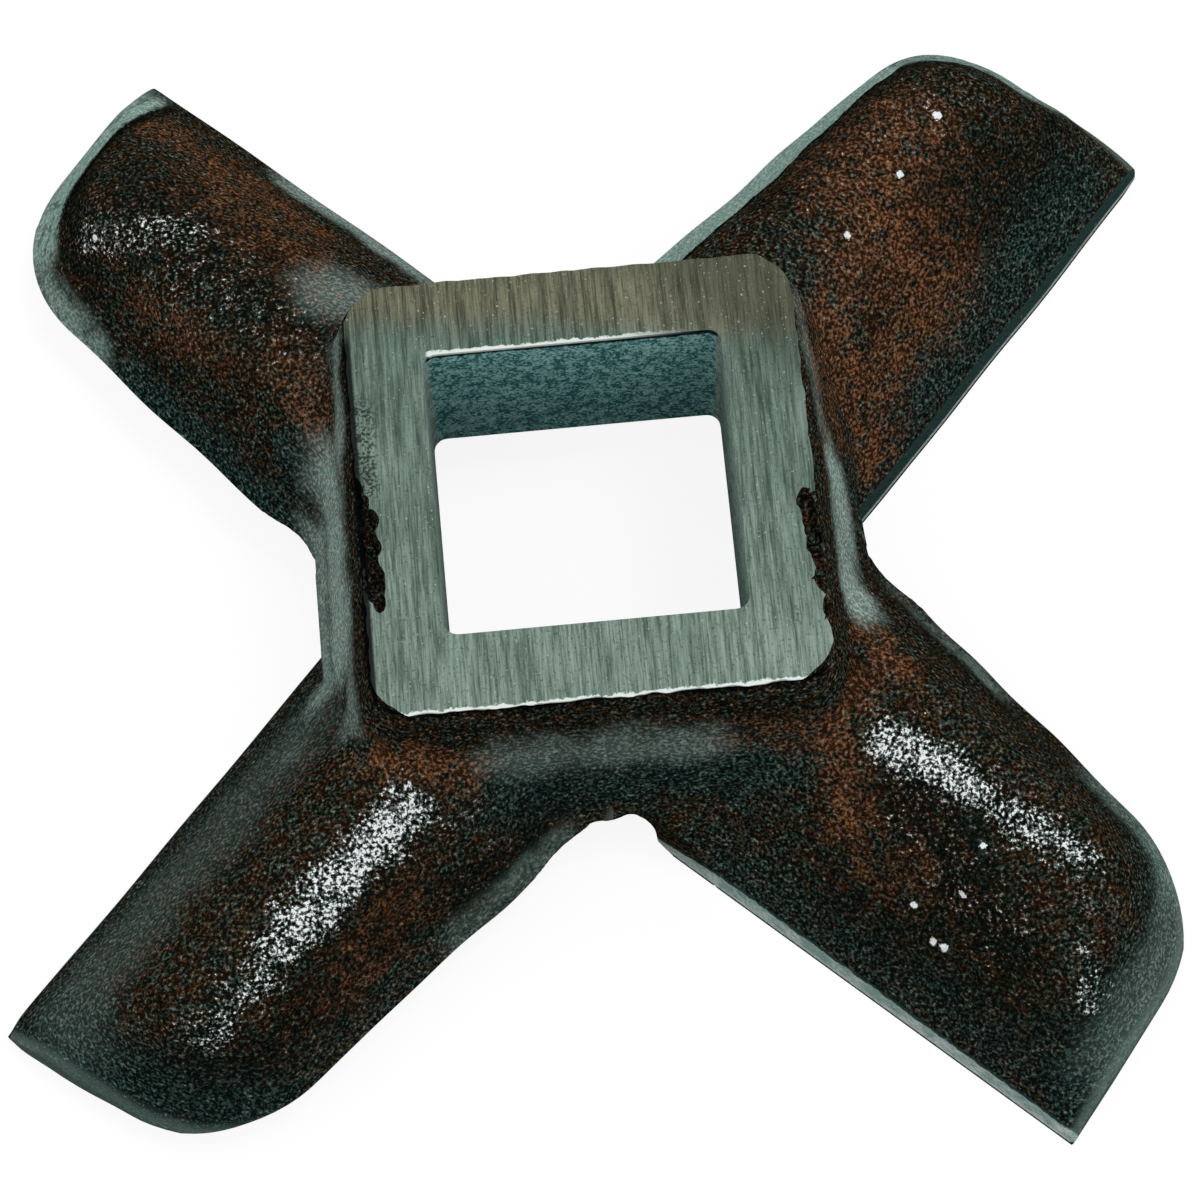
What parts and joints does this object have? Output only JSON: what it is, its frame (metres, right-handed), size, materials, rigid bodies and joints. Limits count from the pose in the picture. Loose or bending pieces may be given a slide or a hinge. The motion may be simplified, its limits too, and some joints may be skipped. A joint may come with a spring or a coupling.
{
  "type": "meat grinder knife",
  "caption": "Cast grinder knife: a square boss with a square drive hole and swept arms, each with a ground cutting edge underneath.",
  "frame": {"origin": "centre of the square drive hole, on the plane of the cutting edges", "axes": "+Z is the knife's turning axis and points from the cutting edges towards the boss's ground face; X and Y run along the sides of the square hole"},
  "size_m": [0.0542, 0.0542, 0.0129],
  "materials": {
    "cast_iron": "sand cast, oiled, with the boss's face and the cutting edges ground bright"
  },
  "bodies": {
    "root": {"grinder_knife": "cast_iron"}
  },
  "joints": []
}
